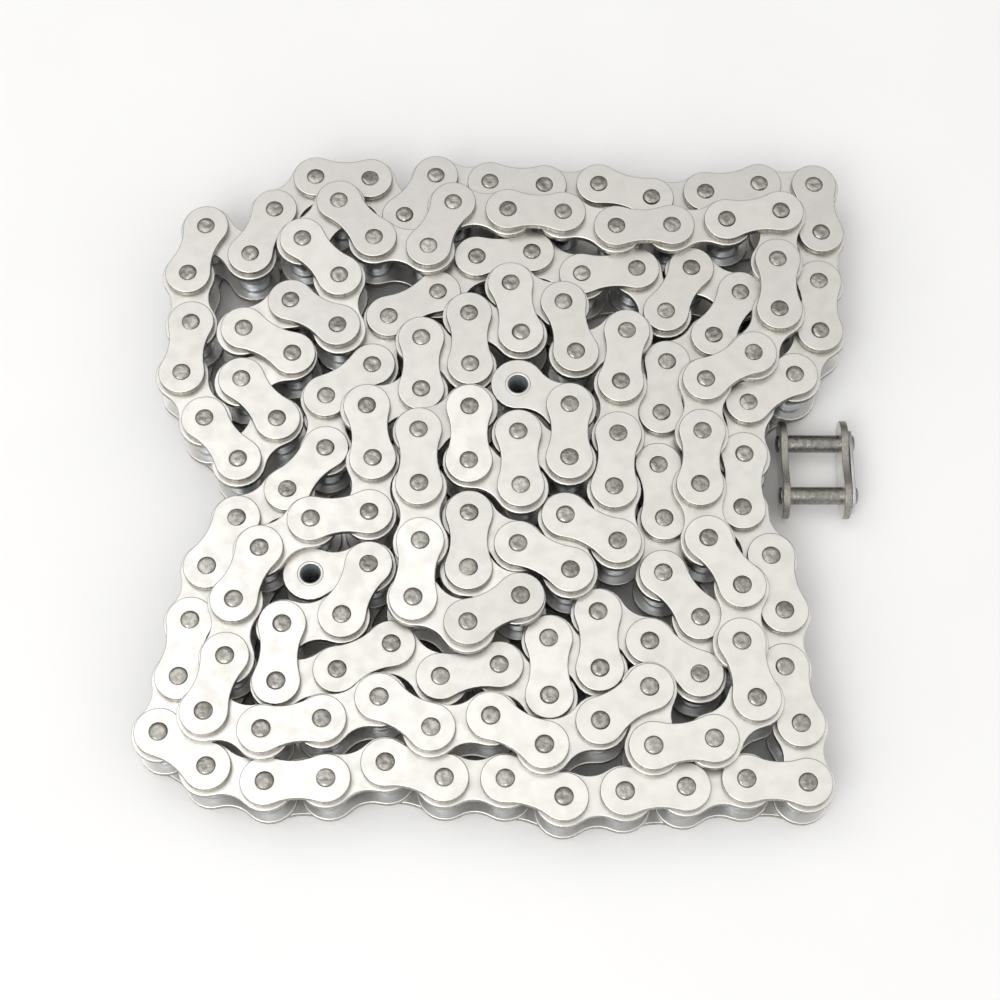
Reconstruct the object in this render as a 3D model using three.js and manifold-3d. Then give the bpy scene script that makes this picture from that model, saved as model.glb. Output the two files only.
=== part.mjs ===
// Roller chain, 19.05 mm pitch, in stainless steel, folded flat into a pack and lying on its side,
// with its loose connecting link beside it. Millimetres, +Z up, the pins of the chain along Z.
//
// Links are numbered along the chain. Link k joins pin k to pin k + 1. Even links are inner links
// (two plates, two bushings, two rollers) and odd links are outer links (two plates, two pins).
// Both ends are inner links with an open bushing, ready for the connecting link.
import * as THREE from 'three';
import { mergeVertices } from 'three/addons/utils/BufferGeometryUtils.js';
import Module from 'manifold-3d';

const wasm = await Module();
wasm.setup();

// ---- driving dimensions of the chain ----
const PITCH = 19.05;
const INNER_WIDTH = 12.57;         // between the inner plates
const PLATE_THICKNESS = 2.4;
const INNER_PLATE_HEIGHT = 18.0;
const INNER_PLATE_WAIST = 12.8;
const OUTER_PLATE_HEIGHT = 15.6;
const OUTER_PLATE_WAIST = 12.1;
const PIN_DIAMETER = 5.94;
const BUSHING_DIAMETER = 8.4;
const ROLLER_DIAMETER = 11.91;
const RIVET_HEIGHT = 0.9;          // how far a pin stands out of its plate
const GAP = 0.3;                   // clearance between pieces that turn or slide on each other

// ---- heights in one link, measured from the middle of the chain's width ----
const INNER_FACE = INNER_WIDTH / 2;
const INNER_OUTSIDE = INNER_FACE + PLATE_THICKNESS;
const OUTER_FACE = INNER_OUTSIDE + GAP;
const OUTER_OUTSIDE = OUTER_FACE + PLATE_THICKNESS;
const PIN_END = OUTER_OUTSIDE + RIVET_HEIGHT;
const ROLLER_END = INNER_FACE - GAP;

// ---- the connecting link ----
const LINK_PLACE = [104, 5];       // where its middle stands, beside the pack
const GROOVE_DIAMETER = 4.4;       // ring groove that the spring clip sits in
const CLIP_THICKNESS = 1.2;
const CLIP_WIDTH = 12.4;
const CLIP_TIP_SHARE = 0.7;         // of that width, across the tips of its two legs
const CLIP_LOW = OUTER_OUTSIDE + GAP;
const CLIP_HIGH = CLIP_LOW + CLIP_THICKNESS;
const CLIP_PIN_END = 1.3;          // the pin beyond its groove

// ---- how finely round shapes are faceted ----
const FINE_HEAD_POINTS = 6;
const FINE_SIDES = 8;
const RUN_HEAD_POINTS = 4;
const RUN_INNER_REACH = Math.PI / 3;   // the two corners of an inner plate's head, from its nose
const RUN_SIDES = 4;

// ---- how the chain lies: a point for every second pin and for the last pin, and whether the
// chain turns left or right at the pin between that point and the next ----
const L = 1;
const R = -1;
const ROUTE = [
  // the first end, in the middle of the pack, and the short folds beside it
  [4, 26, R], [21, -1, L], [6, -10, R], [-12, 17, L], [-28, -11, R], [-29, -48, L],
  [4, -47, R], [-12, -19, L], [20, -38, R], [36, -28, R], [36, 9, R], [41, 47, R],
  [19, 58, L], [5, 46, L], [-11, 34, L], [-28, 25, L],
  // out to the left and along the near side, towards the right
  [-41, -1, R], [-62, -23, L], [-86, -50, R], [-94, -87, L], [-57, -88, R], [-24, -92, R],
  [12, -96, L], [45, -78, L],
  // up the right side, then leftwards along the far side
  [65, -94, L], [76, -63, L], [66, -28, R], [65, 10, R], [83, 39, L], [93, 74, L],
  [76, 90, R], [38, 87, L], [1, 94, L], [-26, 79, R], [-57, 97, L],
  // the folds on the left, where the chain comes down to the floor
  [-57, 69, R], [-73, 60, L], [-72, 41, L], [-76, 17, R], [-99, 18, R], [-106, 53, R],
  // the outermost round: far side, right side, near side, left side
  [-103, 90, L], [-79, 96, R], [-47, 109, L], [-24, 110, R], [14, 106, R], [51, 101, R],
  [89, 107, R], [109, 88, L], [106, 50, R], [81, 23, L], [77, -15, R], [88, -51, L],
  [92, -88, R], [75, -106, R], [37, -110, R], [0, -106, R], [-38, -100, R], [-75, -106, R],
  [-109, -91, L], [-101, -54, R], [-87, -19, L],
  // back inside, rightwards, down the right and along the near side to the second end
  [-60, 6, R], [-45, 37, R], [-23, 65, R], [9, 80, L], [45, 74, L], [64, 74, R],
  [71, 48, L], [52, 19, L], [52, -19, L], [63, -53, R], [46, -61, L], [30, -70, L],
  [14, -79, L], [-21, -73, L], [-54, -70, R], [-70, -55, L], [-45, -35], [-63, -39],
];
const LAST_PIN = 2 * ROUTE.length - 3;

// ---- how the pins are settled ----
const PASSES = 4000;
const NEIGHBOUR_REACH = 2 * PITCH; // pins further apart than this never come to touch
const WAIST_REACH = 0.25;          // of a link's length, on each side of its middle
const WELD = 1e-4;                 // corners closer than this are one corner

// How high the chain lies above the floor at a few pins: one strand rests on the floor, and the
// other one's plates lie on top of it.
const STEP = PLATE_THICKNESS + GAP;
const SLACK = 0.01;                // for comparing heights

const LEVELS = [
  [0, 3 * STEP], [5, 3 * STEP], [7, 4 * STEP], [8, 4 * STEP], [13, 2 * STEP], [69, 2 * STEP],
  [76, 0], [149, 0], [153, STEP], [LAST_PIN, STEP],
];

// ---- which links are built piece by piece, and where the rest is split into runs ----
const FIRST_RUN_PIN = 4;
const LAST_RUN_PIN = LAST_PIN - 3;
const RUN_ENDS = [
  14, 22, 30, 38, 46, 54, 62, 68, 78, 86, 94, 102, 110, 118, 126, 134, 142, 148, LAST_RUN_PIN,
];

// ---- materials ----
const steel = (color, roughness) =>
  new THREE.MeshStandardMaterial({ color, roughness, metalness: 1 });
const plateSteel = steel(0xd9d6d2, 0.35);
const pinSteel = steel(0x8d8a87, 0.4);
const rollerSteel = steel(0x9a9c9e, 0.2);
const clipSteel = steel(0xb9babc, 0.3);

// ================= where the pins are =================

// Height of pin k above the floor's lowest position.
function levelAt(k) {
  const after = Math.max(1, LEVELS.findIndex(([pin]) => pin >= k));
  const [k0, z0] = LEVELS[after - 1];
  const [k1, z1] = LEVELS[after];
  return z0 + ((z1 - z0) * (k - k0)) / (k1 - k0);
}

// A first place for every pin: the route's points, and between two of them the corner of the
// triangle that two links make, on the outside of the turn.
function guidePins() {
  const pins = [];
  ROUTE.slice(0, -2).forEach(([x, y, turn], k) => {
    const here = new THREE.Vector2(x, y);
    const next = new THREE.Vector2(ROUTE[k + 1][0], ROUTE[k + 1][1]);
    const along = next.clone().sub(here);
    const height = Math.sqrt(Math.max(PITCH ** 2 - along.lengthSq() / 4, 0));
    const outward = new THREE.Vector2(along.y, -along.x).setLength(turn * height);
    pins.push(here, here.clone().lerp(next, 0.5).add(outward));
  });
  ROUTE.slice(-2).forEach(([x, y]) => pins.push(new THREE.Vector2(x, y)));
  return pins;
}

// Height of link k above the floor's lowest position.
function linkLevel(k) {
  return (levelAt(Math.max(k, 0)) + levelAt(Math.min(k + 1, LAST_PIN))) / 2;
}

// The smallest height between any of some links and any of some others.
function leastRise(links, others) {
  return Math.min(...links.flatMap((k) => others.map((m) => Math.abs(linkLevel(k) - linkLevel(m)))));
}

// Smallest distance between two pins that no link joins: at one level the inner plates would
// touch, one step up an inner plate is level with an outer one, and two steps up with rollers.
function headDistance(rise) {
  const inner = INNER_PLATE_HEIGHT / 2;
  if (rise < STEP - SLACK) return 2 * inner + GAP;
  if (rise < 2 * STEP - SLACK) return inner + OUTER_PLATE_HEIGHT / 2 + GAP;
  return inner + ROLLER_DIAMETER / 2 + GAP;
}

// Smallest distance from a pin to the middle of a link that it lies beside.
function waistDistance(rise, isInner) {
  const waist = (isInner ? INNER_PLATE_WAIST : OUTER_PLATE_WAIST) / 2;
  const innerHead = INNER_PLATE_HEIGHT / 2;
  const outerHead = OUTER_PLATE_HEIGHT / 2;
  if (rise < STEP - SLACK) return waist + (isInner ? innerHead : outerHead) + GAP;
  if (rise < 2 * STEP - SLACK) return waist + (isInner ? outerHead : innerHead) + GAP;
  return waist + ROLLER_DIAMETER / 2 + GAP;
}

// Moves two pins apart or together along their line, half of the error each.
function correct(a, b, wanted) {
  const shift = b.clone().sub(a);
  const length = shift.length();
  shift.multiplyScalar((length - wanted) / length / 2);
  a.add(shift);
  b.sub(shift);
}

// Moves a pin and a link apart if the pin lies closer to the link's waist than it may.
function clearWaist(pin, start, end, wanted) {
  const along = end.clone().sub(start);
  const share = pin.clone().sub(start).dot(along) / along.lengthSq();
  if (Math.abs(share - 0.5) > WAIST_REACH) return;
  const shift = start.clone().lerp(end, share).sub(pin);
  const length = shift.length();
  if (length >= wanted) return;
  shift.multiplyScalar((length - wanted) / length / 2);
  pin.add(shift);
  start.sub(shift);
  end.sub(shift);
}

// Settles the pins: links get their exact pitch, and neighbouring folds stop touching.
function settlePins() {
  const pins = guidePins();
  const heads = [];
  const waists = [];
  for (let i = 0; i <= LAST_PIN; i++) {
    for (let j = 0; j <= LAST_PIN; j++) {
      if (Math.abs(i - j) < 2 || pins[i].distanceTo(pins[j]) > NEIGHBOUR_REACH) continue;
      if (j > i) heads.push([i, j, headDistance(leastRise([i - 1, i], [j - 1, j]))]);
      if (j === LAST_PIN || j + 1 === i - 1) continue;
      waists.push([i, j, waistDistance(leastRise([i - 1, i], [j]), j % 2 === 0)]);
    }
  }
  for (let pass = 0; pass < PASSES; pass++) {
    for (const [i, j, wanted] of heads) {
      if (pins[i].distanceTo(pins[j]) < wanted) correct(pins[i], pins[j], wanted);
    }
    for (const [i, j, wanted] of waists) clearWaist(pins[i], pins[j], pins[j + 1], wanted);
    for (let k = 0; k < LAST_PIN; k++) correct(pins[k], pins[k + 1], PITCH);
  }
  return pins;
}

// Where link k is: its middle, its direction, and its height above the floor.
function placeOfLink(k) {
  const direction = pins[k + 1].clone().sub(pins[k]);
  const middle = pins[k].clone().lerp(pins[k + 1], 0.5);
  return { x: middle.x, y: middle.y, z: PIN_END + linkLevel(k), angle: direction.angle() };
}

// ================= shapes =================

function circle(radius, sides, x = 0) {
  return Array.from({ length: sides }, (_, k) => {
    const angle = (2 * Math.PI * (k + 0.5)) / sides;
    return new THREE.Vector2(x + radius * Math.cos(angle), radius * Math.sin(angle));
  });
}

// A round hole whose flats stay a given distance from its axis.
function hole(radius, sides, x = 0) {
  return new THREE.Path(circle(radius / Math.cos(Math.PI / sides), sides, x));
}

// The waisted outline of a link plate: a round head on each pin, with hollow sides between them.
function plateShape(height, waist, headPoints, holeRadius = 0, reach = 0) {
  const head = height / 2;
  const half = PITCH / 2;
  const hollowRadius = (half ** 2 + (waist / 2) ** 2 - head ** 2) / (height - waist);
  const headEnd = reach || Math.PI - Math.atan2(waist / 2 + hollowRadius, half);
  const points = [];
  for (const side of [1, -1]) {
    for (let k = 0; k < headPoints; k++) {
      const angle = headEnd * ((2 * k) / (headPoints - 1) - 1);
      points.push(new THREE.Vector2(side * (half + head * Math.cos(angle)),
        side * head * Math.sin(angle)));
    }
    points.push(new THREE.Vector2(0, (side * waist) / 2));
  }
  const shape = new THREE.Shape(points);
  if (holeRadius) for (const x of [-half, half]) shape.holes.push(hole(holeRadius, FINE_SIDES, x));
  return shape;
}

function ringShape(outerRadius, boreRadius) {
  const shape = new THREE.Shape(circle(outerRadius, FINE_SIDES));
  shape.holes.push(hole(boreRadius, FINE_SIDES));
  return shape;
}

// A flat piece of the given outline between two heights.
function slab(shape, low, high) {
  const geometry = new THREE.ExtrudeGeometry(shape, { depth: high - low, bevelEnabled: false });
  return geometry.translate(0, 0, low);
}

function toSolid(geometry) {
  const bare = geometry.clone();
  bare.deleteAttribute('normal');
  bare.deleteAttribute('uv');
  const merged = mergeVertices(bare, WELD);
  return new wasm.Manifold(new wasm.Mesh({
    numProp: 3,
    vertProperties: Float32Array.from(merged.attributes.position.array),
    triVerts: Uint32Array.from(merged.index.array),
  }));
}

function toGeometry(solid) {
  const mesh = solid.getMesh();
  const geometry = new THREE.BufferGeometry();
  geometry.setAttribute('position', new THREE.BufferAttribute(mesh.vertProperties, 3));
  geometry.setIndex(new THREE.BufferAttribute(mesh.triVerts, 1));
  geometry.computeVertexNormals();
  return geometry;
}

// ================= links built piece by piece =================

function piece(name, geometry, material, place) {
  const mesh = new THREE.Mesh(geometry, material);
  mesh.name = name;
  mesh.position.set(place.x, place.y, place.z);
  mesh.rotation.z = place.angle ?? 0;
  return mesh;
}

// Two plates, and the two bushings with their rollers, each at one pin.
function innerLink(name, k) {
  const place = placeOfLink(k);
  const shape = plateShape(INNER_PLATE_HEIGHT, INNER_PLATE_WAIST, FINE_HEAD_POINTS,
    BUSHING_DIAMETER / 2 + GAP);
  const bushing = ringShape(BUSHING_DIAMETER / 2, PIN_DIAMETER / 2 + GAP);
  const roller = ringShape(ROLLER_DIAMETER / 2, BUSHING_DIAMETER / 2 + GAP);
  const pieces = [
    piece(`${name}_plate_upper`, slab(shape, INNER_FACE, INNER_OUTSIDE), plateSteel, place),
    piece(`${name}_plate_lower`, slab(shape, -INNER_OUTSIDE, -INNER_FACE), plateSteel, place),
  ];
  [pins[k], pins[k + 1]].forEach((pin, end) => {
    const spot = { ...place, x: pin.x, y: pin.y };
    pieces.push(
      piece(`${name}_bushing_${end + 1}`, slab(bushing, -INNER_OUTSIDE, INNER_OUTSIDE),
        rollerSteel, spot),
      piece(`${name}_roller_${end + 1}`, slab(roller, -ROLLER_END, ROLLER_END), rollerSteel, spot),
    );
  });
  return pieces;
}

// Two plates and the two pins that are riveted into them.
function outerLink(name, k) {
  const place = placeOfLink(k);
  const shape = plateShape(OUTER_PLATE_HEIGHT, OUTER_PLATE_WAIST, FINE_HEAD_POINTS,
    PIN_DIAMETER / 2 + GAP);
  const pin = new THREE.Shape(circle(PIN_DIAMETER / 2, FINE_SIDES));
  return [
    piece(`${name}_plate_upper`, slab(shape, OUTER_FACE, OUTER_OUTSIDE), plateSteel, place),
    piece(`${name}_plate_lower`, slab(shape, -OUTER_OUTSIDE, -OUTER_FACE), plateSteel, place),
    ...[pins[k], pins[k + 1]].map((spot, end) =>
      piece(`${name}_pin_${end + 1}`, slab(pin, -PIN_END, PIN_END), pinSteel,
        { ...place, x: spot.x, y: spot.y })),
  ];
}

// ================= runs of links joined into one solid =================

function placed(geometry, place) {
  return toSolid(geometry.rotateZ(place.angle).translate(place.x, place.y, place.z));
}

// An inner link of a run, up against the outer plates. The first one keeps its true thickness
// and is bored for the last pin of the chain before it.
function runInnerLink(k, isFirst) {
  const place = placeOfLink(k);
  const shape = plateShape(INNER_PLATE_HEIGHT, INNER_PLATE_WAIST, 2, 0, RUN_INNER_REACH);
  const column = new THREE.Shape(circle(ROLLER_DIAMETER / 2, isFirst ? FINE_SIDES : RUN_SIDES));
  const outside = isFirst ? INNER_OUTSIDE : OUTER_FACE;
  let link = placed(slab(shape, INNER_FACE, outside), place)
    .add(placed(slab(shape, -outside, -INNER_FACE), place));
  for (const pin of [pins[k], pins[k + 1]]) {
    link = link.add(placed(slab(column, -INNER_FACE, INNER_FACE), { ...place, x: pin.x, y: pin.y }));
  }
  if (!isFirst) return link;
  const bore = new THREE.Shape(hole(PIN_DIAMETER / 2 + GAP, FINE_SIDES).getPoints());
  const spot = { ...place, x: pins[k].x, y: pins[k].y };
  return link.subtract(placed(slab(bore, -PIN_END, PIN_END), spot));
}

// An outer link of a run. Its pins stop inside its plates, and only the last one of a run, which
// carries the next run, is whole.
function runOuterLink(k, isLast) {
  const place = placeOfLink(k);
  const shape = plateShape(OUTER_PLATE_HEIGHT, OUTER_PLATE_WAIST, RUN_HEAD_POINTS);
  const shortPin = OUTER_FACE + PLATE_THICKNESS / 2;
  let link = placed(slab(shape, OUTER_FACE, OUTER_OUTSIDE), place)
    .add(placed(slab(shape, -OUTER_OUTSIDE, -OUTER_FACE), place));
  [pins[k], pins[k + 1]].forEach((pin, end) => {
    const whole = isLast && end === 1;
    const column = new THREE.Shape(circle(PIN_DIAMETER / 2, whole ? FINE_SIDES : RUN_SIDES));
    const pinEnd = whole ? PIN_END : shortPin;
    link = link.add(placed(slab(column, -pinEnd, pinEnd), { ...place, x: pin.x, y: pin.y }));
  });
  return link;
}

// The links from one pin to a later one, from an inner link to an outer link.
function chainRun(name, firstPin, lastPin) {
  let run = runInnerLink(firstPin, true);
  for (let k = firstPin + 1; k < lastPin; k += 2) {
    const isLast = k + 1 === lastPin;
    run = run.add(runOuterLink(k, isLast));
    if (!isLast) run = run.add(runInnerLink(k + 1, false));
  }
  return piece(name, toGeometry(run), plateSteel, { x: 0, y: 0, z: 0 });
}

// ================= the connecting link =================

// Stands on the edges of its plates, with its two pins along X.
function connectingLink() {
  const [x, y] = LINK_PLACE;
  const frame = new THREE.Group();
  frame.position.set(x, y, OUTER_PLATE_HEIGHT / 2);
  frame.rotation.set(Math.PI / 2, Math.PI / 2, 0, 'ZXY');
  // its heads reach straight above and below the pins, so it stands on the floor
  const plate = plateShape(OUTER_PLATE_HEIGHT, OUTER_PLATE_WAIST, FINE_HEAD_POINTS,
    PIN_DIAMETER / 2 + GAP, Math.PI / 2);
  const middle = { x: 0, y: 0, z: 0 };
  frame.add(
    piece('link_pin_plate', slab(plate, -OUTER_OUTSIDE, -OUTER_FACE), plateSteel, middle),
    piece('link_cover_plate', slab(plate, OUTER_FACE, OUTER_OUTSIDE), plateSteel, middle),
    piece('link_pin_1', groovedPin(), pinSteel, { ...middle, x: -PITCH / 2 }),
    piece('link_pin_2', groovedPin(), pinSteel, { ...middle, x: PITCH / 2 }),
    piece('link_spring_clip', slab(clipShape(), CLIP_LOW, CLIP_HIGH), clipSteel, middle),
  );
  return frame;
}

// A pin with a ring groove for the spring clip near one end.
function groovedPin() {
  const pin = PIN_DIAMETER / 2;
  const groove = GROOVE_DIAMETER / 2;
  const profile = [
    [0, -PIN_END], [pin, -PIN_END], [pin, CLIP_LOW - GAP], [groove, CLIP_LOW - GAP],
    [groove, CLIP_HIGH + GAP], [pin, CLIP_HIGH + GAP], [pin, CLIP_HIGH + CLIP_PIN_END],
    [0, CLIP_HIGH + CLIP_PIN_END],
  ].map(([radius, height]) => new THREE.Vector2(radius, height));
  return new THREE.LatheGeometry(profile, FINE_SIDES).rotateX(Math.PI / 2);
}

// A flat horseshoe: round at pin 1, open at pin 2, with a slot as wide as the grooves.
function clipShape() {
  const outer = CLIP_WIDTH / 2;
  const slot = GROOVE_DIAMETER / 2 + GAP;
  const half = PITCH / 2;
  const legEnd = half + outer / 2;
  const arc = (radius, from, to, steps) => Array.from({ length: steps + 1 }, (_, k) => {
    const angle = from + ((to - from) * k) / steps;
    return new THREE.Vector2(-half + radius * Math.cos(angle), radius * Math.sin(angle));
  });
  return new THREE.Shape([
    new THREE.Vector2(legEnd, outer * CLIP_TIP_SHARE),
    ...arc(outer, Math.PI / 2, (3 * Math.PI) / 2, FINE_SIDES / 2),
    new THREE.Vector2(legEnd, -outer * CLIP_TIP_SHARE),
    new THREE.Vector2(legEnd, -slot),
    ...arc(slot, (3 * Math.PI) / 2, Math.PI / 2, FINE_SIDES / 2),
    new THREE.Vector2(legEnd, slot),
  ]);
}

// ================= the whole chain =================

const pins = settlePins();
const chain = new THREE.Group();
chain.add(
  ...innerLink('first_end_inner_1', 0),
  ...outerLink('first_end_outer_1', 1),
  ...innerLink('first_end_inner_2', 2),
  ...outerLink('first_end_outer_2', 3),
);
let runStart = FIRST_RUN_PIN;
RUN_ENDS.forEach((runEnd, index) => {
  chain.add(chainRun(`run_${String(index + 1).padStart(2, '0')}`, runStart, runEnd));
  runStart = runEnd;
});
chain.add(
  ...innerLink('last_end_inner_1', LAST_RUN_PIN),
  ...outerLink('last_end_outer', LAST_RUN_PIN + 1),
  ...innerLink('last_end_inner_2', LAST_RUN_PIN + 2),
  connectingLink(),
);

// The origin is on the floor, under the middle of the whole.
const bounds = new THREE.Box3().setFromObject(chain);
const middle = bounds.getCenter(new THREE.Vector3());
chain.position.set(-middle.x, -middle.y, -bounds.min.z);

export default chain;
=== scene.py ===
"""Looks of a roller chain in stainless steel, folded into a pack, with its loose connecting link.

Every plate, pin, bushing and roller of the chain is made here in full detail, in the places that
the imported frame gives: the links at both ends piece by piece, the rest joined for each run.
Metres, +Z up, the pins of the chain along Z.
"""

import math

import bmesh
import bpy
import numpy as np
from mathutils import Matrix, Vector
from mathutils.geometry import tessellate_polygon


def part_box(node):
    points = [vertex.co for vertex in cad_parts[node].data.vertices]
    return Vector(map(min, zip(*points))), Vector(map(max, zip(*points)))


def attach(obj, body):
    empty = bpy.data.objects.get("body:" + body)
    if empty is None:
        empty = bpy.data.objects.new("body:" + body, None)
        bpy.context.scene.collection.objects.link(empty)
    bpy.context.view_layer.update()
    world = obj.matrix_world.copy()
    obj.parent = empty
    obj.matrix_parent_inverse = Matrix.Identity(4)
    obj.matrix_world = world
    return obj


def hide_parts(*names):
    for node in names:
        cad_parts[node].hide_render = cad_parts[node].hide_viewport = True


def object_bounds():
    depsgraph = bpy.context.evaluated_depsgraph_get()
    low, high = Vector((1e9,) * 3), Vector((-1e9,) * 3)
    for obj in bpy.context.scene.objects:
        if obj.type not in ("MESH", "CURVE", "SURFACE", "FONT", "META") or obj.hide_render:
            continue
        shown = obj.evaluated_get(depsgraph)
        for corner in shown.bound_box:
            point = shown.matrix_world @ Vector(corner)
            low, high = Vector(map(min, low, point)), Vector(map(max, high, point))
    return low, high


MM = 0.001

# ---- the chain's dimensions, as in the CAD part ----
PITCH = 19.05 * MM
INNER_WIDTH = 12.57 * MM
PLATE_THICKNESS = 2.4 * MM
INNER_PLATE = {"height": 18.0 * MM, "waist": 12.8 * MM}
OUTER_PLATE = {"height": 15.6 * MM, "waist": 12.1 * MM}
PIN_RADIUS = 2.97 * MM
BUSHING_RADIUS = 4.2 * MM
BORE_RADIUS = 3.05 * MM
MOUTH_RADIUS = 3.3 * MM             # of a bushing's bore, at its ends
ROLLER_RADIUS = 5.955 * MM
RIVET_HEIGHT = 0.9 * MM
GAP = 0.3 * MM                      # between the plates of two neighbouring links
FIT = 0.02 * MM                     # between a piece and the hole that it is pressed into
RUNNING_FIT = 0.08 * MM             # between a roller and its bushing

INNER_FACE = INNER_WIDTH / 2
INNER_OUTSIDE = INNER_FACE + PLATE_THICKNESS
OUTER_FACE = INNER_OUTSIDE + GAP
OUTER_OUTSIDE = OUTER_FACE + PLATE_THICKNESS
PIN_END = OUTER_OUTSIDE + RIVET_HEIGHT
ROLLER_END = INNER_FACE - GAP
BUSHING_PROUD = 0.06 * MM           # how far a bushing stands out of its plate

# ---- the spring clip and the grooves that it sits in ----
GROOVE_RADIUS = 2.2 * MM
CLIP_THICKNESS = 1.2 * MM
CLIP_LOW = OUTER_OUTSIDE + GAP
CLIP_HIGH = CLIP_LOW + CLIP_THICKNESS
CLIP_PIN_END = 1.3 * MM             # how far a pin stands out of the clip
CLIP_BEND_RADIUS = 6.2 * MM
CLIP_PLAY = 0.25 * MM               # between the clip and the bottom of a groove

# ---- edges and fineness ----
PLATE_EDGE = 0.32 * MM              # rounding of a tumbled plate's edges
HOLE_EDGE = 0.1 * MM
BUSHING_EDGE = 0.18 * MM
TURNED_EDGE = 0.5 * MM              # of a roller, and of a grooved pin's upper end
EDGE_MIDDLE = 0.3                   # share of a rounded edge's radius that its middle stands back
HOLD = 0.1 * MM                     # strip beside an edge that keeps the flat beyond it flat
HEAD_POINTS = 18
HOLLOW_POINTS = 5
ARC_POINTS = 12
ROUND_SIDES = 32

# ---- small differences between real pieces ----
SEED = 60
PLATE_TILT = math.radians(0.35)
DENT_DEPTH = 0.14 * MM              # unevenness of a riveted pin end

# ---- numbering: link k joins pin k to pin k + 1; even links are inner, odd links are outer ----
FIRST_END = ("first_end_inner_1", "first_end_outer_1", "first_end_inner_2", "first_end_outer_2")
LAST_END = ("last_end_inner_1", "last_end_outer", "last_end_inner_2")
RUN_COUNT = 19
# an outer plate's upper face in a run of the CAD part: its length, and the corners of its outline,
# without and with the hole of a pin
LEAST_FACE_LENGTH = 31.2 * MM
FACE_CORNERS = (10, 18)
FACING_UP = 0.99                    # least Z of the normal of a face that looks up
WELD = 1e-6                         # corners closer than this are one corner

# ---- camera ----
CAMERA_ELEVATION = math.radians(67.4)
CAMERA_DISTANCE = 0.694
CAMERA_LENS = 76.4
AIM = Vector((-1.9, -12.4, 24.6)) * MM      # what the camera looks at, from the floor's middle

# ---- light ----
# the room's light at some heights, from the horizon at 0 to straight up at 1
SKY = ((0.0, (0.45, 0.46, 0.48)), (0.5, (1.10, 1.10, 1.10)), (0.84, (0.71, 0.69, 0.665)),
       (0.98, (1.10, 1.10, 1.055)))
# full light until the direction's Y less its Z reaches the first number, least at the second
DIM_BEHIND = (-0.45, 0.2, 1.0, 0.3)
LAMPS = (("overhead", (-0.5, 0.25, 1.2), 1.4), ("front_left", (-0.5, -0.9, 1.3), 7.0))
LAMP_SIZE = 0.8
FLOOR_SIZE = 6

# ---- colours: each material goes from the first to the second in soft spots ----
PLATE_COLORS = ((0.90, 0.885, 0.86), (0.80, 0.785, 0.76))
# darker than the plates, partly for the rough sheared face and partly as painted shade of the walls
# between the plates
SHEARED_COLORS_WITH_SHADE = ((0.44, 0.42, 0.375), (0.24, 0.228, 0.20))
PIN_COLORS = ((0.54, 0.525, 0.49), (0.26, 0.25, 0.23))
# painted shade: the near-black colour that the rounded rim of a pin end is darkened towards
PIN_RIM_SHADE_COLOR = (0.13, 0.125, 0.115)
# dark and slightly bluish, partly as painted shade of the gaps between the plates
ROLLER_COLORS_WITH_SHADE = ((0.45, 0.48, 0.515), (0.27, 0.29, 0.315))
# painted shade: the dark slate colour inside a bushing's bore
BORE_SHADE_COLORS = ((0.34, 0.375, 0.385), (0.24, 0.27, 0.28))
CLIP_COLORS = ((0.68, 0.68, 0.69), (0.5, 0.5, 0.52))
FLOOR_COLORS = ((0.965, 0.965, 0.965), (0.95, 0.95, 0.952))
BORE_METALLIC = 0.4                 # less than full, so that the deep bore catches more of the light from its opening
FLOOR_ROUGHNESS = 0.6

random = np.random.default_rng(SEED)


# ================= where the links are =================


def node_middle(name):
    low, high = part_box(name)
    return (low + high) / 2


def flat_islands(node):
    """The corners of each separate flat face of a CAD node that looks up."""
    mesh = bmesh.new()
    mesh.from_mesh(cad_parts[node].data)
    bmesh.ops.remove_doubles(mesh, verts=mesh.verts, dist=WELD)
    waiting = {face for face in mesh.faces if face.normal.z > FACING_UP}
    islands = []
    while waiting:
        island, edge_of_island = [], [waiting.pop()]
        while edge_of_island:
            face = edge_of_island.pop()
            island.append(face)
            near = {other for edge in face.edges for other in edge.link_faces} & waiting
            waiting -= near
            edge_of_island.extend(near)
        islands.append(np.array([v.co[:] for v in {v for face in island for v in face.verts}]))
    mesh.free()
    return islands


def outer_plates(node):
    """Both pin places and the height of each upper outer plate of a run, from its flat top face."""
    found = []
    for corners in flat_islands(node):
        flat = corners[:, :2] - corners[:, :2].mean(0)
        along = np.linalg.eigh(flat.T @ flat)[1][:, 1]
        across = np.array([-along[1], along[0]])
        reach, side = corners[:, :2] @ along, corners[:, :2] @ across
        if np.ptp(reach) < LEAST_FACE_LENGTH or len(corners) not in FACE_CORNERS:
            continue
        middle = along * (reach.min() + reach.max()) / 2 + across * (side.min() + side.max()) / 2
        ends = [middle - along * PITCH / 2, middle + along * PITCH / 2]
        found.append((ends, corners[0, 2] - OUTER_OUTSIDE))
    return found


def next_plate(plates, pin):
    """The plate with an end one pitch from a pin: its number, and which of its ends that is."""
    def misfit(choice):
        plate, near = choice
        return abs(np.linalg.norm(plates[plate][0][near] - pin) - PITCH)
    return min(((i, end) for i in range(len(plates)) for end in (0, 1)), key=misfit)


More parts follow.
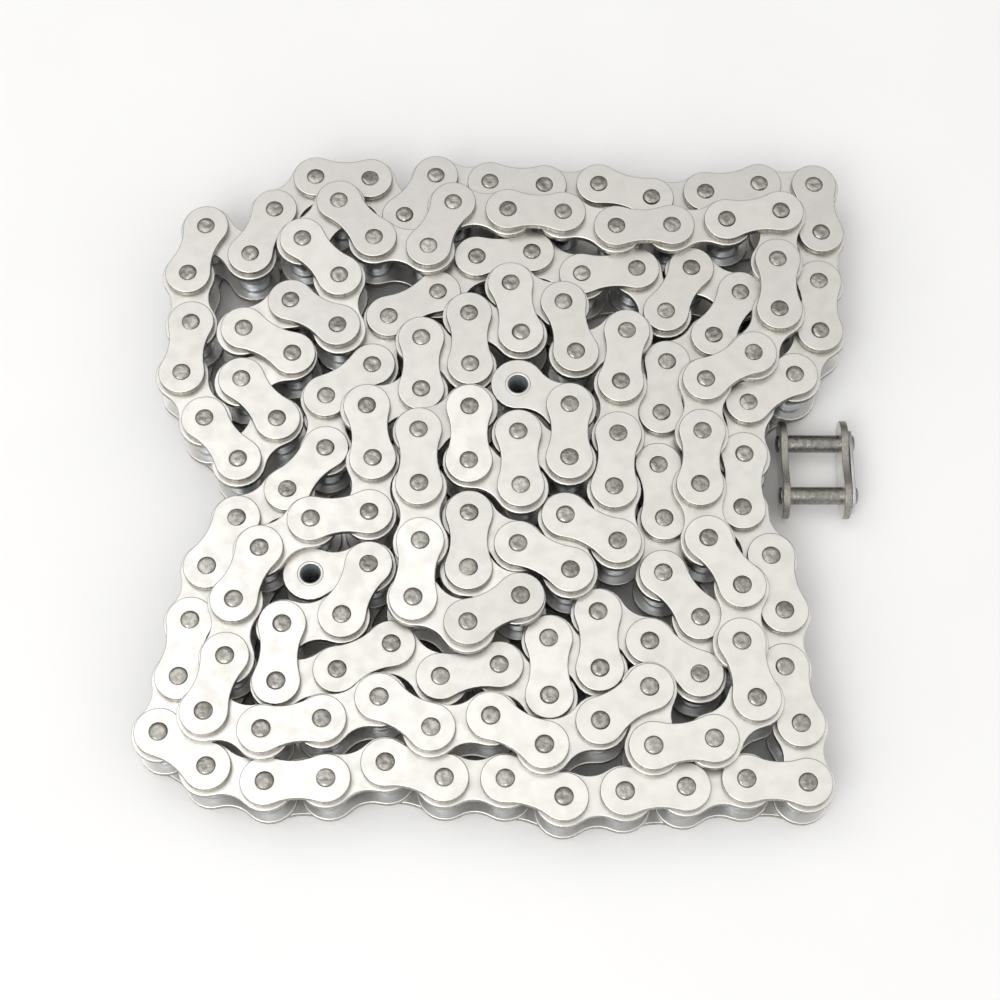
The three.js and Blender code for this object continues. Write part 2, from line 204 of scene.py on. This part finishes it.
def follow_chain():
    """The place of every pin in the frame, with the pin numbers where the runs end."""
    pins = [np.array(node_middle(f"{FIRST_END[link]}_bushing_{end}")[:2])
            for link in (0, 2) for end in (1, 2)]
    pins.append(np.array(node_middle("first_end_outer_2_pin_2")[:2]))
    heights = {0: node_middle("first_end_inner_1_bushing_1").z}
    heights[3] = heights[0]
    run_ends = []
    for run in range(1, RUN_COUNT + 1):
        plates = outer_plates(f"run_{run:02d}")
        while plates:
            plate, near = next_plate(plates, pins[-1])
            ends, height = plates.pop(plate)
            heights[len(pins)] = height
            pins += [ends[near], ends[1 - near]]
        run_ends.append(len(pins) - 1)
    for link, ends in ((0, (2,)), (2, (1, 2))):
        pins += [np.array(node_middle(f"{LAST_END[link]}_bushing_{end}")[:2]) for end in ends]
    heights[len(pins) - 3] = node_middle("last_end_inner_1_bushing_1").z
    levels = np.interp(np.arange(len(pins)), [k + 0.5 for k in sorted(heights)],
                       [heights[k] for k in sorted(heights)])
    levels[:len(FIRST_END) + 1] = heights[0]
    return np.column_stack([np.array(pins), levels]), run_ends


def link_matrix(k, tilt=0.0):
    """Takes a link's own frame, with its length along X from its middle, to its place."""
    along = Vector(pins[k + 1] - pins[k]).normalized()
    across = Vector((0, 0, 1)).cross(along).normalized()
    turn = Matrix((along, across, along.cross(across))).transposed().to_4x4()
    roll = Matrix.Rotation(tilt, 4, "X")
    return Matrix.Translation((pins[k] + pins[k + 1]) / 2) @ turn @ roll


# ================= templates: one detailed mesh of each kind of piece =================


class Template:
    """Corners, faces, each face's material number, and a flat pattern place for each corner."""

    def __init__(self, mesh, places):
        bmesh.ops.recalc_face_normals(mesh, faces=mesh.faces)
        mesh.verts.ensure_lookup_table()
        mesh.verts.index_update()
        self.corners = np.array([v.co[:] for v in mesh.verts])
        self.faces = [[v.index for v in face.verts] for face in mesh.faces]
        self.materials = [face.material_index for face in mesh.faces]
        self.places = np.array(places)
        mesh.free()

    def moved(self, offset):
        copy = Template.__new__(Template)
        copy.__dict__.update(self.__dict__, corners=self.corners + np.array(offset))
        return copy


def rounded_edge(radius, thickness):
    """Steps (inset, height) over a plate's edge, from its upper flat round to its lower flat."""
    steps = [(radius + HOLD, 0)]
    for angle in np.radians([0, 30, 60, 90]):
        steps.append((radius * (1 - math.sin(angle)), -radius * (1 - math.cos(angle))))
    steps.append((0, -radius - HOLD))
    half = thickness / 2
    upper = [(inset, half + drop) for inset, drop in steps]
    return upper + [(inset, -height) for inset, height in reversed(upper)]


def waisted_outline(height, waist):
    """A link plate's outline: a round head on each pin, with hollow sides between them."""
    head, low, half = height / 2, waist / 2, PITCH / 2
    hollow = (half**2 + low**2 - head**2) / (2 * (head - low))
    lean = math.atan2(low + hollow, half)
    side = [(half + head * math.cos(a), head * math.sin(a))
            for a in np.linspace(lean - math.pi, math.pi - lean, HEAD_POINTS)]
    side += [(hollow * math.cos(a), low + hollow + hollow * math.sin(a))
             for a in np.linspace(-lean, lean - math.pi, HOLLOW_POINTS + 2)[1:-1]]
    side = np.array(side)
    return np.vstack([side, -side])


def circle(radius, x=0.0, sides=ROUND_SIDES):
    angles = 2 * math.pi * np.arange(sides) / sides
    return np.column_stack([x + radius * np.cos(angles), radius * np.sin(angles)])


def outward(loop):
    """Unit normals of a closed counterclockwise loop, to its outside."""
    along = np.roll(loop, -1, 0) - np.roll(loop, 1, 0)
    normals = np.column_stack([along[:, 1], -along[:, 0]])
    return normals / np.linalg.norm(normals, axis=1)[:, None]


def add_rim(mesh, loop, steps, sign, wall_material):
    """Rings of corners over the edge of an outline (sign 1) or of a hole (sign -1)."""
    normals = outward(loop)
    rings = [[mesh.verts.new((*spot, height)) for spot in loop - sign * inset * normals]
             for inset, height in steps]
    for upper, lower in zip(rings, rings[1:]):
        steep = abs(upper[0].co.z - lower[0].co.z) > abs((upper[0].co - lower[0].co).xy.length)
        for k in range(len(loop)):
            after = (k + 1) % len(loop)
            face = mesh.faces.new((upper[k], upper[after], lower[after], lower[k]))
            face.material_index = wall_material if steep else 0
    return rings[0], rings[-1]


def plate_template(outline, holes, thickness=PLATE_THICKNESS, wall_material=1):
    """A flat piece with a rounded edge. Its upper and lower faces are filled round the holes."""
    mesh = bmesh.new()
    rims = [add_rim(mesh, outline, rounded_edge(PLATE_EDGE, thickness), 1, wall_material)]
    rims += [add_rim(mesh, hole, rounded_edge(HOLE_EDGE, thickness), -1, wall_material)
             for hole in holes]
    for face_of in (0, 1):
        loops = [painted_rim_shade[face_of] for painted_rim_shade in rims]
        corners = [v for loop in loops for v in loop]
        for triangle in tessellate_polygon([[v.co for v in loop] for loop in loops]):
            mesh.faces.new([corners[i] for i in triangle])
    return Template(mesh, [v.co.xy[:] for v in mesh.verts])


def lathe_template(profile, sides=ROUND_SIDES):
    """A turned piece from steps (radius, height, material). A closed profile makes a ring."""
    mesh = bmesh.new()
    rings = [[mesh.verts.new((*spot, height)) for spot in circle(radius, sides=sides)]
             for radius, height, _ in profile]
    is_ring = profile[0][0] > 0
    pairs = list(zip(rings, rings[1:])) + ([(rings[-1], rings[0])] if is_ring else [])
    for step, (upper, lower) in enumerate(pairs):
        for k in range(sides):
            after = (k + 1) % sides
            face = mesh.faces.new((upper[k], upper[after], lower[after], lower[k]))
            face.material_index = profile[step][2]
    if not is_ring:
        bmesh.ops.remove_doubles(mesh, verts=rings[0] + rings[-1], dist=WELD)
    return Template(mesh, [v.co.xy[:] for v in mesh.verts])


def flipped(profile):
    """A profile of an upper end, turned into one of a lower end."""
    return [(radius, -height, material) for radius, height, material in reversed(profile)]


def mirrored(profile):
    """A profile from the upper end down to the middle, and the same again down to the lower end."""
    return profile + flipped(profile)


def pin_end(end):
    """A riveted pin end: a shallow dimple, a flat ring and a worn shoulder."""
    # distance from the axis and drop from the end, in mm
    steps = [(0, -0.10), (0.7, -0.07), (1.2, -0.01), (1.6, 0), (2.0, -0.07), (2.4, -0.20),
             (2.72, -0.40), (2.91, -0.64)]
    shoulder = [(radius * MM, end + drop * MM, 0) for radius, drop in steps]
    return shoulder + [(PIN_RADIUS, end - RIVET_HEIGHT, 0)]


def bushing_profile():
    """A rolled bushing, from its bore round both flared ends to its outside."""
    end, edge = INNER_OUTSIDE + BUSHING_PROUD, BUSHING_EDGE
    back = edge * EDGE_MIDDLE
    upper = [(BORE_RADIUS, 0, 1), (BORE_RADIUS, end - 4 * edge, 1), (MOUTH_RADIUS, end - 2 * edge, 1),
             (MOUTH_RADIUS, end - edge, 0), (MOUTH_RADIUS + edge, end, 0),
             (BUSHING_RADIUS - edge, end, 0), (BUSHING_RADIUS - back, end - back, 0),
             (BUSHING_RADIUS, end - edge, 0), (BUSHING_RADIUS, end - edge - HOLD, 0)]
    return upper + flipped(upper[1:])


def roller_profile():
    """A turned roller with rounded rims, from its bore round both ends to its outside."""
    bore, edge = BUSHING_RADIUS + RUNNING_FIT, TURNED_EDGE
    upper = [(bore, ROLLER_END - HOLD, 0), (bore + HOLD, ROLLER_END, 0),
             (ROLLER_RADIUS - edge - HOLD, ROLLER_END, 0), (ROLLER_RADIUS - edge, ROLLER_END, 0),
             (ROLLER_RADIUS - edge * 0.5, ROLLER_END - edge * 0.13, 0),
             (ROLLER_RADIUS - edge * 0.13, ROLLER_END - edge * 0.5, 0),
             (ROLLER_RADIUS, ROLLER_END - edge, 0), (ROLLER_RADIUS, ROLLER_END - edge - HOLD, 0)]
    return mirrored(upper)


def grooved_pin_profile():
    """A pin of the connecting link: riveted at its lower end, with a clip groove at the upper."""
    top, edge = CLIP_HIGH + CLIP_PIN_END, TURNED_EDGE
    groove_low, groove_high = CLIP_LOW - GAP / 2, CLIP_HIGH + GAP / 2
    upper = [(0, top), (PIN_RADIUS - edge - HOLD, top), (PIN_RADIUS - edge, top),
             (PIN_RADIUS, top - edge), (PIN_RADIUS, groove_high + HOLD), (PIN_RADIUS, groove_high),
             (GROOVE_RADIUS, groove_high), (GROOVE_RADIUS, groove_low), (PIN_RADIUS, groove_low),
             (PIN_RADIUS, groove_low - HOLD)]
    return [(radius, height, 0) for radius, height in upper] + flipped(pin_end(PIN_END))


def clip_outline():
    """A flat horseshoe: closed round pin 1, its legs pinched behind pin 2 and splayed at the tips."""
    half = PITCH / 2
    bend, eye = CLIP_BEND_RADIUS, GROOVE_RADIUS + CLIP_PLAY
    closed, open_eye = math.radians(174), math.radians(48)
    # along the leg as a share of half a pitch, and across it in mm
    leg = np.array([(0, 6.2), (0.55, 6.0), (1.0, 5.6), (1.25, 4.95), (1.32, 4.3), (1.3, 3.6),
                    (1.18, 2.9), (1.0, 2.45), (0.82, 2.5), (0.66, 2.05), (0.4, 1.6), (0, 1.45),
                    (-0.5, 1.55)])
    upper = np.vstack([arc(bend, -half, closed, math.pi / 2),
                       leg * (half, MM),
                       arc(eye, -half, open_eye, closed)])
    return np.vstack([upper * (1, -1), upper[::-1]])


def arc(radius, x, start, end):
    angles = np.linspace(start, end, ARC_POINTS)
    return np.column_stack([x + radius * np.cos(angles), radius * np.sin(angles)])


# ================= building pieces from templates =================


def pin_dents(corners):
    """Small unevenness of one pin's two riveted ends, as if hammered: never beyond their length."""
    lean, bow, phase = random.normal(0, 1, 2), random.normal(0, 1), random.uniform(0, 2 * math.pi)
    x, y = corners[:, 0] / PIN_RADIUS, corners[:, 1] / PIN_RADIUS
    angle = np.arctan2(y, x)
    radius = np.hypot(x, y)
    lift = lean[0] * x + lean[1] * y + bow * radius**2 * np.cos(2 * angle + phase)
    on_end = np.clip((np.abs(corners[:, 2]) - OUTER_OUTSIDE) / RIVET_HEIGHT, 0, 1)
    dented = corners.copy()
    dented[:, 2] += DENT_DEPTH * (lift - lift.max()) * on_end * np.sign(corners[:, 2])
    return dented


def build(name, copies, materials, body, nodes):
    """One piece from copies (template, matrix, dent function), riding a body for some CAD nodes."""
    corners, faces, numbers, places, tones, start = [], [], [], [], [], 0
    for template, matrix, dent in copies:
        own = dent(template.corners) if dent else template.corners
        turn = np.array(matrix)
        corners.append(own @ turn[:3, :3].T + turn[:3, 3])
        faces += [[start + i for i in face] for face in template.faces]
        numbers += template.materials
        places.append(template.places / MM)
        tones.append(np.full(len(own), random.uniform()))
        start += len(own)
    mesh = bpy.data.meshes.new(name)
    mesh.from_pydata(np.vstack(corners), [], faces)
    for material in materials:
        mesh.materials.append(material)
    mesh.polygons.foreach_set("material_index", numbers)
    mesh.polygons.foreach_set("use_smooth", [True] * len(faces))
    corner_of_loop = np.empty(len(mesh.loops), np.int32)
    mesh.loops.foreach_get("vertex_index", corner_of_loop)
    pattern = mesh.uv_layers.new(name="pattern")
    pattern.data.foreach_set("uv", np.vstack(places)[corner_of_loop].astype(np.float32).ravel())
    tone = mesh.attributes.new("tone", "FLOAT", "POINT")
    tone.data.foreach_set("value", np.concatenate(tones).astype(np.float32))
    mesh.update()
    piece = bpy.data.objects.new(name, mesh)
    bpy.context.scene.collection.objects.link(piece)
    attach(piece, body)
    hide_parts(*nodes)
    return piece


# ================= materials =================


class Graph:
    """A material's nodes, added with their inputs given by name: a socket is linked, a value set."""

    def __init__(self, name, metallic=1.0):
        self.material = bpy.data.materials.new(name)
        self.material.use_nodes = True
        self.nodes = self.material.node_tree.nodes
        self.shader = self.nodes["Principled BSDF"]
        self.shader.inputs["Metallic"].default_value = metallic

    def add(self, kind, inputs=(), **settings):
        node = self.nodes.new(kind)
        for key, value in settings.items():
            setattr(node, key, value)
        for key, value in dict(inputs).items():
            self.put(node.inputs[key], value)
        return node

    def put(self, socket, value):
        if isinstance(value, bpy.types.NodeSocket):
            self.material.node_tree.links.new(value, socket)
        else:
            socket.default_value = value

    def math(self, operation, first, second=0.0):
        return self.add("ShaderNodeMath", {0: first, 1: second}, operation=operation).outputs[0]

    def span(self, value, low, high, new_low, new_high):
        """value from low to high, taken smoothly to new_low to new_high."""
        inputs = {"Value": value, "From Min": low, "From Max": high, "To Min": new_low,
                  "To Max": new_high}
        return self.add("ShaderNodeMapRange", inputs, interpolation_type="SMOOTHSTEP").outputs[0]

    def noise(self, size, stretch=(1, 1, 1), detail=3.0):
        """Noise with spots of a given size, the same for a place on the object in every view."""
        place = self.add("ShaderNodeTexCoord").outputs["Object"]
        scaled = self.add("ShaderNodeMapping", {"Vector": place, "Scale": stretch}).outputs[0]
        inputs = {"Vector": scaled, "Scale": 1 / size, "Detail": detail}
        return self.add("ShaderNodeTexNoise", inputs).outputs[0]

    def tone(self):
        """A number from 0 to 1 that differs from piece to piece."""
        return self.add("ShaderNodeAttribute", attribute_name="tone").outputs["Fac"]

    def mix(self, factor, first, second):
        """The first color, going to the second as a factor goes from 0 to 1."""
        node = self.add("ShaderNodeMix", data_type="RGBA")
        colors = [s for s in node.inputs if s.type == "RGBA"]
        self.put(node.inputs[0], factor)
        for socket, value in zip(colors, (first, second)):
            self.put(socket, (*value, 1) if isinstance(value, tuple) else value)
        return next(s for s in node.outputs if s.type == "RGBA")

    def bump(self, height, distance, normal=None):
        node = self.add("ShaderNodeBump", {"Height": height, "Distance": distance, "Strength": 1.0})
        if normal:
            self.put(node.inputs["Normal"], normal)
        return node.outputs[0]

    def finish(self, color, roughness, normal):
        self.put(self.shader.inputs["Base Color"], color)
        self.put(self.shader.inputs["Roughness"], roughness)
        self.put(self.shader.inputs["Normal"], normal)
        return self.material


def plate_steel():
    """Bright tumbled stainless sheet: cloudy, with fine scratches and a pressed ring at each pin."""
    g = Graph("plate_steel")
    clouds = g.noise(5 * MM, detail=4)
    grain = g.noise(0.25 * MM, detail=2)
    scratches = g.noise(0.3 * MM, stretch=(0.06, 1, 1), detail=2)
    place = g.add("ShaderNodeUVMap", uv_map="pattern").outputs[0]
    split = g.add("ShaderNodeSeparateXYZ", {"Vector": place})
    from_pin = g.math("SUBTRACT", g.math("ABSOLUTE", split.outputs[0]), PITCH / MM / 2)
    spot = g.add("ShaderNodeCombineXYZ", {"X": from_pin, "Y": split.outputs[1]}).outputs[0]
    radius = g.add("ShaderNodeVectorMath", {0: spot}, operation="LENGTH").outputs["Value"]
    ring = g.math("MULTIPLY", g.span(radius, 3.0, 3.3, 0, 1), g.span(radius, 3.5, 4.3, 1, 0))
    dullness = g.math("ADD", g.span(clouds, 0.35, 0.7, 0, 0.6), g.math("MULTIPLY", g.tone(), 0.4))
    color = g.mix(g.math("MAXIMUM", dullness, g.math("MULTIPLY", ring, 0.35)), *PLATE_COLORS)
    roughness = g.math("ADD", g.span(grain, 0.3, 0.7, 0.27, 0.40),
                       g.math("MULTIPLY", g.span(clouds, 0.4, 0.65, 0, 1), 0.08))
    fine = g.bump(grain, 0.006 * MM)
    normal = g.bump(g.span(scratches, 0.62, 0.75, 0, 1), 0.004 * MM, normal=fine)
    return g.finish(color, roughness, g.bump(clouds, 0.02 * MM, normal=normal))


def sheared_steel():
    """The punched edge of a plate, with fine upright marks from the die: darker, partly for its rough
    sheared face and partly as painted shade between the plates.
    """
    g = Graph("sheared_steel")
    marks = g.noise(0.35 * MM, stretch=(1, 1, 0.08), detail=3)
    clouds = g.noise(2 * MM)
    # the darker colour is partly painted shade of the walls between the plates
    color = g.mix(g.span(marks, 0.35, 0.7, 0, 1), *SHEARED_COLORS_WITH_SHADE)
    roughness = g.span(clouds, 0.3, 0.7, 0.32, 0.5)
    return g.finish(color, roughness, g.bump(marks, 0.02 * MM))


def pin_steel():
    """Grey riveted pin ends, with a hammered grain and a painted shade darkening the rounded rim."""
    g = Graph("pin_steel")
    hammered = g.noise(1.4 * MM, detail=3)
    grain = g.noise(0.3 * MM, detail=2)
    place = g.add("ShaderNodeUVMap", uv_map="pattern").outputs[0]
    radius = g.add("ShaderNodeVectorMath", {0: place}, operation="LENGTH").outputs["Value"]
    # painted shade: the rim of a pin end, from 2.4 mm out, is darkened halfway to a near-black colour
    painted_rim_shade = g.span(radius, 2.4, 2.95, 0, 1)
    dullness = g.math("ADD", g.span(hammered, 0.35, 0.65, 0, 0.6), g.math("MULTIPLY", g.tone(), 0.4))
    body = g.mix(dullness, *PIN_COLORS)
    color = g.mix(g.math("MULTIPLY", painted_rim_shade, 0.5), body, PIN_RIM_SHADE_COLOR)
    normal = g.bump(hammered, 0.20 * MM, normal=g.bump(grain, 0.015 * MM))
    return g.finish(color, g.span(grain, 0.3, 0.7, 0.22, 0.40), normal)


def roller_steel():
    """Ground, shiny steel with fine rings left by turning; its dark, slightly bluish colour is partly
    painted shade of the gaps between the plates.
    """
    g = Graph("roller_steel")
    rings = g.noise(0.12 * MM, stretch=(0.03, 0.03, 1), detail=2)
    clouds = g.noise(3 * MM)
    # the dark, bluish colour is partly painted shade of the gaps between the plates
    color = g.mix(g.span(clouds, 0.3, 0.7, 0, 1), *ROLLER_COLORS_WITH_SHADE)
    return g.finish(color, g.span(rings, 0.3, 0.7, 0.08, 0.18), g.bump(rings, 0.004 * MM))


def bore_steel():
    """The bore of a bushing: darker and slightly bluish, as painted shade inside the bore."""
    g = Graph("bore_steel", BORE_METALLIC)
    film = g.noise(2 * MM)
    # painted shade: the bore is coloured dark slate, darker than the bushing's outside
    color = g.mix(g.span(film, 0.3, 0.7, 0, 1), *BORE_SHADE_COLORS)
    return g.finish(color, g.span(film, 0.3, 0.7, 0.25, 0.4), g.bump(film, 0.01 * MM))


def clip_steel():
    """Bright spring steel strip with a fine lengthwise grain."""
    g = Graph("clip_steel")
    grain = g.noise(0.3 * MM, stretch=(1, 0.06, 1), detail=3)
    color = g.mix(g.span(grain, 0.35, 0.65, 0, 1), *CLIP_COLORS)
    return g.finish(color, g.span(grain, 0.3, 0.7, 0.24, 0.38), g.bump(grain, 0.008 * MM))


def floor_material():
    """A plain pale surface, very slightly uneven."""
    g = Graph("pale_floor", metallic=0.0)
    clouds = g.noise(60 * MM)
    color = g.mix(g.span(clouds, 0.3, 0.7, 0, 1), *FLOOR_COLORS)
    return g.finish(color, FLOOR_ROUGHNESS, g.bump(clouds, 0.05 * MM))


# ================= the chain =================


def plate_copies(template, face, k, jitter=True):
    """Both plates of a link, their inner faces at a height on each side of its middle."""
    lift = face + PLATE_THICKNESS / 2
    tilt = random.normal(0, PLATE_TILT) if jitter else 0.0
    return [(template.moved((0, 0, side * lift)), link_matrix(k, tilt), None) for side in (1, -1)]


def round_copy(template, k, near, dent=None):
    """A pin, bushing or roller at pin k, square to the link near it."""
    matrix = link_matrix(near)
    matrix.translation = Vector(pins[k])
    spin = Matrix.Rotation(random.uniform(0, 2 * math.pi), 4, "Z")
    return template, matrix @ spin, dent


def add_inner_link(name, k):
    """An end link of the chain, piece by piece: two plates, two bushings, two rollers."""
    upper, lower = plate_copies(INNER, INNER_FACE, k, jitter=False)
    for side, copy in (("upper", upper), ("lower", lower)):
        node = f"{name}_plate_{side}"
        build(f"{node}_look", [copy], [plate, sheared], name, [node])
    for end, pin in ((1, k), (2, k + 1)):
        node = f"{name}_bushing_{end}"
        build(f"{node}_look", [round_copy(BUSHING, pin, k)], [plate, bore], name,
              [node])
        node = f"{name}_roller_{end}"
        build(f"{node}_look", [round_copy(ROLLER, pin, k)], [roller], node, [node])


def add_outer_link(name, k):
    """An end link of the chain, piece by piece: two plates and two riveted pins."""
    upper, lower = plate_copies(OUTER, OUTER_FACE, k, jitter=False)
    for side, copy in (("upper", upper), ("lower", lower)):
        node = f"{name}_plate_{side}"
        build(f"{node}_look", [copy], [plate, sheared], name, [node])
    for end, pin in ((1, k), (2, k + 1)):
        node = f"{name}_pin_{end}"
        build(f"{node}_look", [round_copy(PIN, pin, k, pin_dents)], [pin_metal], name,
              [node])


def add_run(node, first, last):
    """The links from one pin to a later one: all of their pieces, joined by kind."""
    inner_links, outer_links = range(first, last, 2), range(first + 1, last, 2)
    kinds = {
        "inner_plates": ([plate, sheared], "plate_steel",
                         [c for k in inner_links for c in plate_copies(INNER, INNER_FACE, k)]),
        "outer_plates": ([plate, sheared], "plate_steel",
                         [c for k in outer_links for c in plate_copies(OUTER, OUTER_FACE, k)]),
        "pins": ([pin_metal], "pin_steel",
                 [round_copy(PIN, p, k, pin_dents) for k in outer_links for p in (k, k + 1)]),
        "bushings": ([plate, bore], "roller_steel",
                     [round_copy(BUSHING, p, k) for k in inner_links for p in (k, k + 1)]),
        "rollers": ([roller], "roller_steel",
                    [round_copy(ROLLER, p, k) for k in inner_links for p in (k, k + 1)]),
    }
    for kind, (materials, slot, copies) in kinds.items():
        build(f"{node}_{kind}", copies, materials, "root", [node])


def add_connecting_link():
    """The loose link, standing on the edges of its plates with its pins along X."""
    middle = (node_middle("link_pin_plate") + node_middle("link_cover_plate")) / 2
    axes = Matrix(((0, 0, 1), (1, 0, 0), (0, 1, 0))).to_4x4()
    matrix = Matrix.Translation(middle) @ axes
    lift = OUTER_FACE + PLATE_THICKNESS / 2
    for node, side in (("link_pin_plate", -1), ("link_cover_plate", 1)):
        build(f"{node}_look", [(OUTER.moved((0, 0, side * lift)), matrix, None)], [plate, sheared],
              "connecting_link", [node])
    for end, x in ((1, -PITCH / 2), (2, PITCH / 2)):
        node = f"link_pin_{end}"
        build(f"{node}_look", [(GROOVED_PIN.moved((x, 0, 0)), matrix, None)], [pin_metal],
              "connecting_link", [node])
    clip = CLIP.moved((0, 0, (CLIP_LOW + CLIP_HIGH) / 2))
    build("link_spring_clip_look", [(clip, matrix, None)], [clip_metal], "spring_clip",
          ["link_spring_clip"])


# ================= floor, light and camera =================


def add_floor():
    bpy.ops.mesh.primitive_plane_add(size=FLOOR_SIZE)
    floor = bpy.context.object
    floor.name = "floor"
    floor.data.materials.append(floor_material())


def add_soft_light(name, place, power):
    """A large square lamp that looks at the middle of the pack."""
    lamp = bpy.data.lights.new(name, "AREA")
    lamp.size = LAMP_SIZE
    lamp.energy = power
    holder = bpy.data.objects.new(name, lamp)
    holder.location = place
    holder.rotation_euler = (-Vector(place)).to_track_quat("-Z", "Y").to_euler()
    bpy.context.scene.collection.objects.link(holder)


def add_sky():
    """A soft white room: brightest halfway up and overhead, and dim low down behind the pack."""
    world = bpy.data.worlds.new("room")
    bpy.context.scene.world = world
    world.use_nodes = True
    nodes, links = world.node_tree.nodes, world.node_tree.links
    direction = nodes.new("ShaderNodeTexCoord").outputs["Generated"]
    split = nodes.new("ShaderNodeSeparateXYZ")
    ramp = nodes.new("ShaderNodeValToRGB")
    links.new(direction, split.inputs[0])
    links.new(split.outputs["Z"], ramp.inputs[0])
    links.new(ramp.outputs[0], nodes["Background"].inputs["Color"])
    stops = ramp.color_ramp.elements
    while len(stops) < len(SKY):
        stops.new(0.5)
    for stop, (height, color) in zip(stops, SKY):
        stop.position = height
        stop.color = (*color, 1)
    behind = nodes.new("ShaderNodeMath")
    behind.operation = "SUBTRACT"
    links.new(split.outputs["Y"], behind.inputs[0])
    links.new(split.outputs["Z"], behind.inputs[1])
    dimming = nodes.new("ShaderNodeMapRange")
    links.new(behind.outputs[0], dimming.inputs["Value"])
    for socket, value in zip(("From Min", "From Max", "To Min", "To Max"), DIM_BEHIND):
        dimming.inputs[socket].default_value = value
    links.new(dimming.outputs[0], nodes["Background"].inputs["Strength"])


def add_camera():
    camera = bpy.data.cameras.new("camera")
    camera.lens = CAMERA_LENS
    holder = bpy.data.objects.new("camera", camera)
    back = Vector((0, -math.cos(CAMERA_ELEVATION), math.sin(CAMERA_ELEVATION)))
    low, high = CAD_BOX
    ground = Vector(((low.x + high.x) / 2, (low.y + high.y) / 2, low.z))
    holder.location = ground + AIM + CAMERA_DISTANCE * back
    holder.rotation_euler = (math.pi / 2 - CAMERA_ELEVATION, 0, 0)
    bpy.context.scene.collection.objects.link(holder)
    bpy.context.scene.camera = holder


# ================= the whole =================

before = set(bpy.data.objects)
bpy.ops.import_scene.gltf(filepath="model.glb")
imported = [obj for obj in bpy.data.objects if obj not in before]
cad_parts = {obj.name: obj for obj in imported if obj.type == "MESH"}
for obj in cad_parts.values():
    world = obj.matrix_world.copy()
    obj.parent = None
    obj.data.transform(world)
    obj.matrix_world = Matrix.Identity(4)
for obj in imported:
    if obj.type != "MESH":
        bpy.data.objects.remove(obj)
CAD_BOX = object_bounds()
pins, run_ends = follow_chain()

plate, sheared, pin_metal = plate_steel(), sheared_steel(), pin_steel()
roller, bore, clip_metal = roller_steel(), bore_steel(), clip_steel()

INNER = plate_template(waisted_outline(**INNER_PLATE),
                       [circle(BUSHING_RADIUS + FIT, x) for x in (-PITCH / 2, PITCH / 2)])
OUTER = plate_template(waisted_outline(**OUTER_PLATE),
                       [circle(PIN_RADIUS + FIT, x) for x in (-PITCH / 2, PITCH / 2)])
CLIP = plate_template(clip_outline(), [], CLIP_THICKNESS, 0)
PIN = lathe_template(mirrored(pin_end(PIN_END)))
GROOVED_PIN = lathe_template(grooved_pin_profile())
BUSHING = lathe_template(bushing_profile())
ROLLER = lathe_template(roller_profile(), 40)

for link, name in enumerate(FIRST_END):
    (add_outer_link if link % 2 else add_inner_link)(name, link)
run_start = len(FIRST_END)
for index, run_end in enumerate(run_ends):
    add_run(f"run_{index + 1:02d}", run_start, run_end)
    run_start = run_end
for link, name in enumerate(LAST_END):
    (add_outer_link if link % 2 else add_inner_link)(name, run_start + link)
add_connecting_link()

add_floor()
add_sky()
for lamp_name, lamp_place, lamp_power in LAMPS:
    add_soft_light(lamp_name, lamp_place, lamp_power)
add_camera()
bpy.context.scene.view_settings.view_transform = "Standard"
